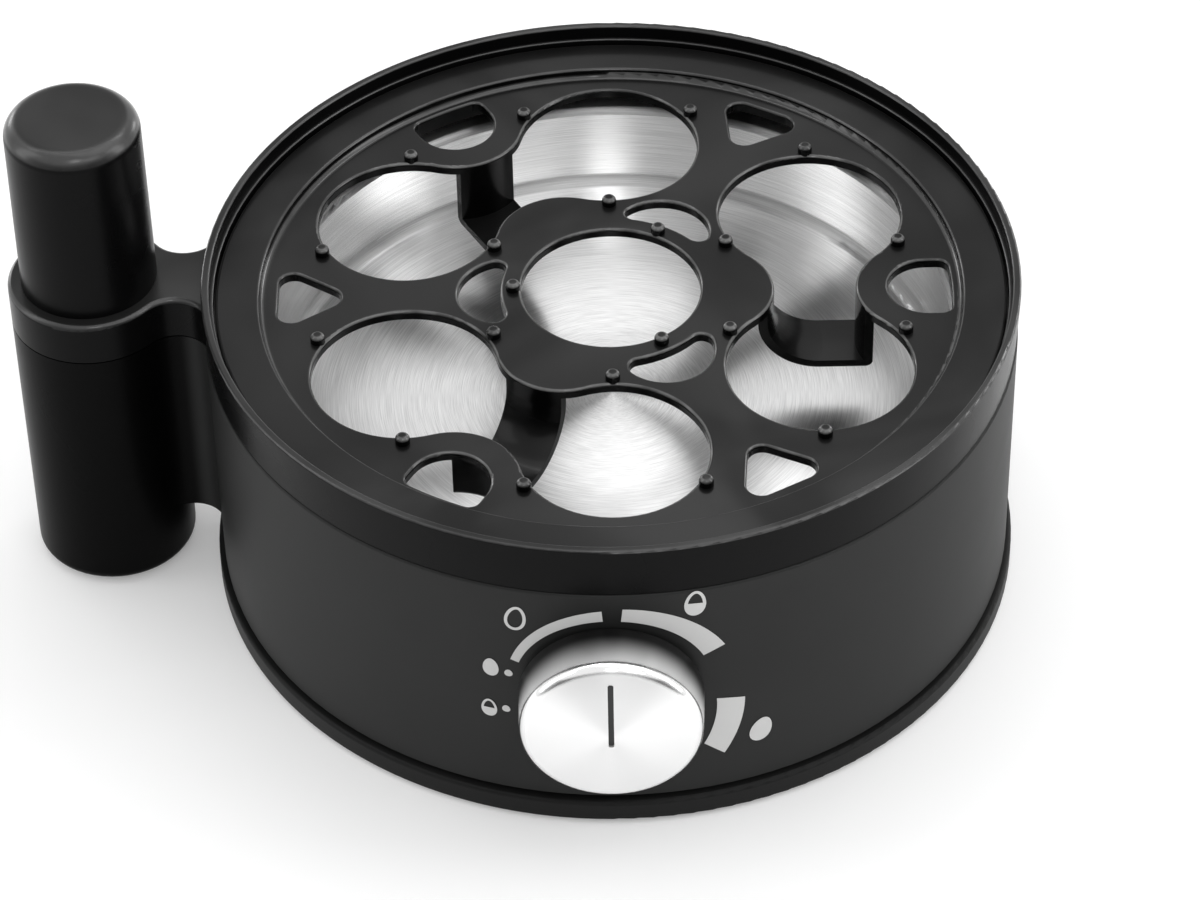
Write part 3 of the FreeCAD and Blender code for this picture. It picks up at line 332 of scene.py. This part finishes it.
def toppedMaterial(name, skin, top, edgeHighlight):
    material = mouldedMaterial(name, **skin)
    tree = material.node_tree
    link = tree.links.new
    shader = tree.nodes["Principled BSDF"]
    handledAndHighlight = addNode(tree, "ShaderNodeGroup", node_tree=handledTopAndHighlight)
    setInputs(handledAndHighlight, Lowest=edgeHighlight["lowest"], Reach=edgeHighlight["reach"], Beyond=edgeHighlight["beyond"],
              Polish=top["polish"])
    # upward faces take a lighter colour than the sides: painted light from above
    blendSkin(material, handledAndHighlight.outputs["Top"], top)
    # rounded edges painted paler in patches: a painted highlight
    tone = mixColor(tree, handledAndHighlight.outputs["PaintedHighlight"], shader.inputs["Base Color"].links[0].from_socket)
    tone.inputs["B"].default_value = (*edgeHighlight["color"], 1)
    link(tone.outputs["Result"], shader.inputs["Base Color"])
    setInputs(shader, Coat_Roughness=top["gloss"])
    link(handledAndHighlight.outputs["Coat"], shader.inputs["Coat Weight"])
    return material


dress(toppedMaterial("smoothBlackCollar", collarSkin, collarTopPaintedLighter, collarEdgeHighlight), "carrier_ring", "grip_post")
dress(toppedMaterial("semiGlossTray", traySkin, trayTopPaintedLighter, trayEdgeHighlight), "egg_tray")


def turnedMaterial(name, finish, axis, location=(0, 0, 0), rotation=(0, 0, 0)):
    # metal with fine lines around the axis, which location and rotation bring to z
    material, tree, shader = newMaterial(name, finish["color"], 1.0)
    link = tree.links.new
    setInputs(shader, Anisotropic=finish["anisotropy"], Anisotropic_Rotation=turnedLook["spread"])
    centred = addNode(tree, "ShaderNodeMapping")
    setInputs(centred, Location=location, Rotation=rotation)
    turned = addNode(tree, "ShaderNodeGroup", node_tree=turnedLines)
    setInputs(turned, Scale=finish["lineScale"], Stroke=finish["stroke"])
    bump = bumpNode(tree, turned.outputs["Lines"], finish["lineDepth"], turnedLook["height"])
    tangent = addNode(tree, "ShaderNodeTangent", direction_type="RADIAL", axis=axis)
    link(coordsOf(tree, "Object"), centred.inputs["Vector"])
    link(centred.outputs["Vector"], turned.inputs["Vector"])
    link(bump.outputs["Normal"], shader.inputs["Normal"])
    link(tangent.outputs["Tangent"], shader.inputs["Tangent"])
    return material, turned.outputs


# pan: turned steel; the corner between floor and wall is rougher and painted darker (painted shade), the wall
# is painted lighter (painted light)
panFinish = {"color": (0.8, 0.8, 0.79), "roughness": 0.28, "anisotropy": 0.85, "lineScale": 6600.0,
             "stroke": 0.0006, "lineDepth": 0.04, "lineLow": 0.35, "lineHigh": 0.65, "darkLine": 0.66,
             "lightLine": 0.92, "floorEnd": 0.998, "cornerStart": 0.95, "cornerEnd": 0.25, "wallStart": 0.02,
             "cornerRoughness": 0.5, "cornerPaintedShade": 0.8, "wallRoughness": 0.25, "wallPaintedLight": 1.08}


def panMaterial():
    look = panFinish
    material, turned = turnedMaterial("brushedPan", look, "Z")
    tree = material.node_tree
    shader = tree.nodes["Principled BSDF"]
    rise = splitVector(tree, coordsOf(tree, "Normal"))["Z"]
    cornerBand = smoothMask(tree, rise, look["floorEnd"], look["cornerStart"])
    wall = smoothMask(tree, rise, look["cornerEnd"], look["wallStart"])
    corner = mixValue(tree, cornerBand, look["roughness"], look["cornerRoughness"])
    tree.links.new(mixValue(tree, wall, corner, look["wallRoughness"]), shader.inputs["Roughness"])
    line = rangeNode(tree, turned["Lines"], look["lineLow"], look["lineHigh"],
                     look["darkLine"], look["lightLine"])
    # corner painted darker as painted shade, wall painted lighter as painted light
    paintedLightAndShade = mixValue(tree, wall, mixValue(tree, cornerBand, 1.0, look["cornerPaintedShade"]), look["wallPaintedLight"])
    tree.links.new(mathNode(tree, "MULTIPLY", line, paintedLightAndShade), shader.inputs["Base Color"])
    return material


dress(panMaterial(), "heating_pan")

# dial: turned satin chrome with a polished edge, a skirt painted darker towards the wall (painted shade),
# black inlay
dialHeight = 0.0389
chromeFinish = {"color": (0.95, 0.95, 0.955), "satin": 0.42, "polished": 0.14, "anisotropy": 0.85,
                "lineScale": 4200.0, "stroke": 0.0006, "lineDepth": 0.02, "crown": 6.0,
                "edgeStart": 0.0172, "edgeEnd": 0.0188, "skirtStart": -0.1, "skirtEnd": -0.0992,
                "rootPlace": -0.092, "frontPlace": -0.1, "rootPaintedShade": 0.02, "frontPaintedShade": 0.78}


def chromeMaterial():
    look = chromeFinish
    material, turned = turnedMaterial("satinChrome", look, "Y", (0, dialHeight, 0), (math.radians(90), 0, 0))
    tree = material.node_tree
    link = tree.links.new
    shader = tree.nodes["Principled BSDF"]
    radius, along = turned["Radius"], turned["Along"]
    front = smoothMask(tree, along, look["skirtEnd"], look["skirtStart"])
    edge = mathNode(tree, "MULTIPLY", front, smoothMask(tree, radius, look["edgeStart"], look["edgeEnd"]))
    link(mixValue(tree, edge, look["satin"], look["polished"]), shader.inputs["Roughness"])
    # skirt painted darker towards the wall: painted shade
    forward = smoothMask(tree, along, look["rootPlace"], look["frontPlace"])
    skirtPaintedShade = mixValue(tree, forward, look["rootPaintedShade"], look["frontPaintedShade"])
    link(mixValue(tree, front, skirtPaintedShade, look["color"][0]), shader.inputs["Base Color"])
    # the face is a little crowned
    fall = mathNode(tree, "MULTIPLY", mathNode(tree, "MULTIPLY", radius, radius), -look["crown"])
    crown = bumpNode(tree, fall, 1.0, 1.0)
    link(shader.inputs["Normal"].links[0].from_socket, crown.inputs["Normal"])
    link(crown.outputs["Normal"], shader.inputs["Normal"])
    return material


inlayFinish = {"color": (0.012, 0.012, 0.012), "roughness": 0.5, "grain": 3000.0, "depth": 0.05}
dress(chromeMaterial(), "knob_cap")
dress(mouldedMaterial("blackInlay", **inlayFinish), "knob_pointer", "knob_hub")

# pieces that stay inside or underneath: colour, roughness, metallic and the nodes
innerDepth = 0.06
innerFinishes = {
    "footRubber": ((0.015, 0.015, 0.015), 0.75, 0.0, ("rubber_feet",)),
    "sealSilicone": ((0.35, 0.06, 0.04), 0.55, 0.0, ("pan_seal",)),
    "castAluminium": ((0.55, 0.55, 0.56), 0.45, 1.0, ("heat_spreader",)),
    "zincSteel": ((0.50, 0.50, 0.51), 0.32, 1.0, (
        "heating_element", "thermostat_bracket", "base_screws", "grip_screw", "control_shaft", "switch_nut")),
    "plainBrass": ((0.70, 0.48, 0.18), 0.35, 1.0, ("element_terminals",)),
    "phenolicBrown": ((0.06, 0.035, 0.025), 0.5, 0.0, ("thermostat", "control_switch", "buzzer")),
    "fuseSleeve": ((0.70, 0.66, 0.55), 0.7, 0.0, ("thermal_fuse",)),
    "terminalWhite": ((0.72, 0.72, 0.68), 0.45, 0.0, ("terminal_block",)),
}
for finishName, (color, roughness, metallic, nodeNames) in innerFinishes.items():
    dress(mouldedMaterial(finishName, color, roughness, depth=innerDepth, metallic=metallic), *nodeNames)
print("finishes: CAD nodes dressed")

# print around the dial: three widening bands and plain egg signs, drawn flat and laid on the wall
inkFinish = {"color": (0.62, 0.62, 0.615), "roughness": 0.55, "grain": 4000.0, "depth": 0.03, "mottle": 0.05,
             "specular": 0.3}
printLook = {"wallRadius": 0.0898, "lift": 0.00008, "film": 0.00004, "bandSteps": 40, "bandRows": 4,
             "eggPoints": 56, "eggTaper": 0.24, "line": 0.0007, "lineWidth": 4.6}
bandTable = {  # start and end: angle from the top, inner and outer radius in millimetres
    "printBandSoft": ((-69.5, 20.9, 22.8), (-4.2, 21.3, 24.2)),
    "printBandMedium": ((6.0, 21.3, 24.8), (65.0, 21.6, 26.7)),
    "printBandHard": ((101.3, 22.9, 29.3), (131.6, 26.4, 32.4)),
}
eggTable = {  # place beside the axis, height above it, width, height in millimetres, tilt, filled share
    "printEggOpen": (-20.0, 20.2, 4.6, 6.9, -10, 0.0),
    "printEggHalf": (17.8, 24.7, 4.6, 7.0, -4, 0.48),
    "printEggFull": (32.5, -16.9, 4.9, 6.8, -18, 1.0),
    "printEggSmall": (-25.8, 4.5, 3.5, 5.0, 0, 1.0),
    "printEggSmallHalf": (-26.5, -7.8, 3.5, 5.0, 0, 0.5),
    "printDotUpper": (-21.9, 3.7, 1.8, 1.9, 0, 1.0),
    "printDotLower": (-22.7, -7.2, 1.8, 1.9, 0, 1.0),
}
printInk = mouldedMaterial("lightInk", **inkFinish)


def layOnWall(piece):
    wall = printLook["wallRadius"]
    reach = wall + printLook["lift"]
    for vertex in piece.data.vertices:
        across, up = vertex.co.x / wall, vertex.co.y
        vertex.co = (reach * math.sin(across), -reach * math.cos(across), dialHeight + up)
    bpy.ops.object.select_all(action="DESELECT")
    piece.select_set(True)
    bpy.context.view_layer.objects.active = piece
    bpy.ops.object.mode_set(mode="EDIT")
    bpy.ops.mesh.select_all(action="SELECT")
    bpy.ops.mesh.normals_make_consistent(inside=False)
    bpy.ops.object.mode_set(mode="OBJECT")
    if piece.data.polygons[0].normal.y > 0:  # the film grows away from the wall
        piece.data.flip_normals()
    film = piece.modifiers.new("film", "SOLIDIFY")
    film.thickness = printLook["film"]
    film.offset = 1.0
    bpy.ops.object.modifier_apply(modifier="film")
    piece.data.materials.append(printInk)
    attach(piece, "base")


def makeBand(name, begin, end):
    bpy.ops.object.select_all(action="DESELECT")
    bpy.ops.mesh.primitive_grid_add(
        x_subdivisions=printLook["bandSteps"], y_subdivisions=printLook["bandRows"], size=1.0)
    band = bpy.context.object
    band.name = name
    for vertex in band.data.vertices:
        along, out = vertex.co.x + 0.5, vertex.co.y + 0.5
        turn, inner, outer = (first + (last - first) * along for first, last in zip(begin, end))
        reach = (inner + (outer - inner) * out) * mm
        vertex.co = (reach * math.sin(math.radians(turn)), reach * math.cos(math.radians(turn)), 0)
    layOnWall(band)


def openEgg(egg, wide, tall, filled):
    # leaves a line around the egg, and its lower part where it is half filled
    bpy.ops.mesh.inset(thickness=printLook["line"] * min(1.0, wide / printLook["lineWidth"]))
    if filled > 0.0:
        level = (filled - 0.5) * tall * mm
        bpy.ops.mesh.select_all(action="SELECT")
        bpy.ops.mesh.bisect(plane_co=(0, level, 0), plane_no=(0, 1, 0))
        bpy.ops.mesh.select_mode(type="FACE")
        bpy.ops.mesh.select_all(action="DESELECT")
        bpy.ops.object.mode_set(mode="OBJECT")
        upper = [face for face in egg.data.polygons if face.center.y > level]
        max(upper, key=lambda face: face.area).select = True
        bpy.ops.object.mode_set(mode="EDIT")
    bpy.ops.mesh.delete(type="FACE")
    bpy.ops.mesh.select_all(action="SELECT")


def makeEgg(name, place, height, wide, tall, tilt, filled):
    bpy.ops.object.select_all(action="DESELECT")
    bpy.ops.mesh.primitive_circle_add(vertices=printLook["eggPoints"], radius=0.5, fill_type="NGON")
    egg = bpy.context.object
    egg.name = name
    for vertex in egg.data.vertices:
        narrow = 1 - printLook["eggTaper"] * vertex.co.y
        vertex.co = (vertex.co.x * wide * mm * narrow, vertex.co.y * tall * mm, 0)
    bpy.ops.object.mode_set(mode="EDIT")
    bpy.ops.mesh.select_all(action="SELECT")
    if filled < 1.0:
        openEgg(egg, wide, tall, filled)
    bpy.ops.mesh.quads_convert_to_tris()
    bpy.ops.object.mode_set(mode="OBJECT")
    lean = Matrix.Rotation(math.radians(tilt), 4, "Z")
    egg.data.transform(Matrix.Translation((place * mm, height * mm, 0)) @ lean)
    layOnWall(egg)


for bandName, (begin, end) in bandTable.items():
    makeBand(bandName, begin, end)
for eggName, eggLook in eggTable.items():
    makeEgg(eggName, *eggLook)
print("print: bands and signs laid on the wall")

# camera, from the fit to the photograph: 1200 pixels wide, principal point in the middle
cameraFit = {"focalPixels": 4512.0, "imageWidth": 1200.0, "sensorWidth": 36.0, "pitch": 42.35, "roll": -1.137,
             "distance": 1.0123, "turn": 1.073, "target": (-0.0031, -0.0104, 0.036)}


def placeCamera():
    pitch, roll = math.radians(cameraFit["pitch"]), math.radians(cameraFit["roll"])
    back = Vector((0, -math.cos(pitch), math.sin(pitch)))
    right = Vector((1, 0, 0))
    up = Vector((0, math.sin(pitch), math.cos(pitch)))
    tiltedRight = right * math.cos(roll) + up * math.sin(roll)
    tiltedUp = up * math.cos(roll) - right * math.sin(roll)
    data = bpy.data.cameras.new("photoCamera")
    data.sensor_width = cameraFit["sensorWidth"]
    data.lens = data.sensor_width * cameraFit["focalPixels"] / cameraFit["imageWidth"]
    camera = bpy.data.objects.new("photoCamera", data)
    scene.collection.objects.link(camera)
    turned = Matrix((tiltedRight, tiltedUp, back)).transposed().to_4x4()
    place = Vector(cameraFit["target"]) + back * cameraFit["distance"]
    around = Matrix.Rotation(math.radians(cameraFit["turn"]), 4, "Z")
    camera.matrix_world = around @ Matrix.Translation(place) @ turned
    scene.camera = camera


placeCamera()
print("camera: placed")

# studio: white floor and surround, soft boxes and strips
floorLook = {"size": 6.0, "albedo": 0.80, "roughness": 0.9, "fill": 0.22}
worldLook = {"lightStrength": 0.72, "seenStrength": 1.0, "mirroredStrength": 0.9, "frontStrength": 0.05,
             "frontFull": -0.75, "frontEnd": 0.0, "topStart": 0.3, "topFull": 0.55}
lampAim = (0, 0, 0.05)
lampTable = {
    "topBox": {"place": (0.25, 0.3, 1.3), "size": (1.5, 1.2), "watts": 5.2},
    "keyStrip": {"place": (-0.1, 0.36, 0.95), "size": (1.4, 0.05), "watts": 1.2},
    "frontBox": {"place": (0.02, -0.85, 1.1), "size": (0.2, 0.4), "watts": 1.3},
    "frontRight": {"place": (0.5, -0.75, 1.05), "size": (0.5, 0.4), "watts": 0.9},
    "rimLeft": {"place": (-0.85, 0.95, 0.3), "size": (0.3, 0.3), "watts": 1.2},
    "rimRight": {"place": (0.85, 0.95, 0.3), "size": (0.3, 0.3), "watts": 1.2},
    "leftStrip": {"place": (-0.95, -0.1, 0.55), "size": (0.35, 0.9), "watts": 1.5},
    "rightStrip": {"place": (0.95, -0.1, 0.55), "size": (0.35, 0.9), "watts": 2.5},
}


def seenRays(tree):
    rays = addNode(tree, "ShaderNodeLightPath").outputs
    mirrored = mathNode(tree, "MAXIMUM", rays["Is Glossy Ray"], rays["Is Transmission Ray"])
    return rays["Is Camera Ray"], mirrored


def makeFloor():
    bpy.ops.object.select_all(action="DESELECT")
    bpy.ops.mesh.primitive_plane_add(size=floorLook["size"])
    floor = bpy.context.object
    floor.name = "studioFloor"
    material, tree, shader = newMaterial("whiteFloor", (floorLook["albedo"],) * 3, specular=0.0)
    setInputs(shader, Roughness=floorLook["roughness"], Emission_Color=(1, 1, 1, 1))
    fill = mathNode(tree, "MULTIPLY", mathNode(tree, "MAXIMUM", *seenRays(tree)), floorLook["fill"])
    tree.links.new(fill, shader.inputs["Emission Strength"])
    floor.data.materials.append(material)


def makeWorld():
    world = bpy.data.worlds.new("whiteStudio")
    scene.world = world
    world.use_nodes = True
    tree = world.node_tree
    background = tree.nodes["Background"]
    setInputs(background, Color=(1, 1, 1, 1))
    # seen in the metal, it is white all round and above, and dark low down in front
    direction = splitVector(tree, coordsOf(tree, "Generated"))
    behind = smoothMask(tree, direction["Y"], worldLook["frontFull"], worldLook["frontEnd"])
    above = smoothMask(tree, direction["Z"], worldLook["topStart"], worldLook["topFull"])
    white = mathNode(tree, "MAXIMUM", behind, above)
    reflection = mixValue(tree, white, worldLook["frontStrength"], worldLook["mirroredStrength"])
    seen, mirrored = seenRays(tree)
    strength = mixValue(tree, mirrored, worldLook["lightStrength"], reflection)
    strength = mixValue(tree, seen, strength, worldLook["seenStrength"])
    tree.links.new(strength, background.inputs["Strength"])


def makeLamps():
    for name, look in lampTable.items():
        data = bpy.data.lights.new(name, "AREA")
        data.shape = "RECTANGLE"
        data.size, data.size_y = look["size"]
        data.energy = look["watts"]
        lamp = bpy.data.objects.new(name, data)
        scene.collection.objects.link(lamp)
        lamp.location = look["place"]
        aim = Vector(lampAim) - lamp.location
        lamp.rotation_euler = aim.to_track_quat("-Z", "Y").to_euler()


makeFloor()
makeWorld()
makeLamps()
scene.view_settings.view_transform = "Standard"
print("studio: floor, surround and lamps placed")
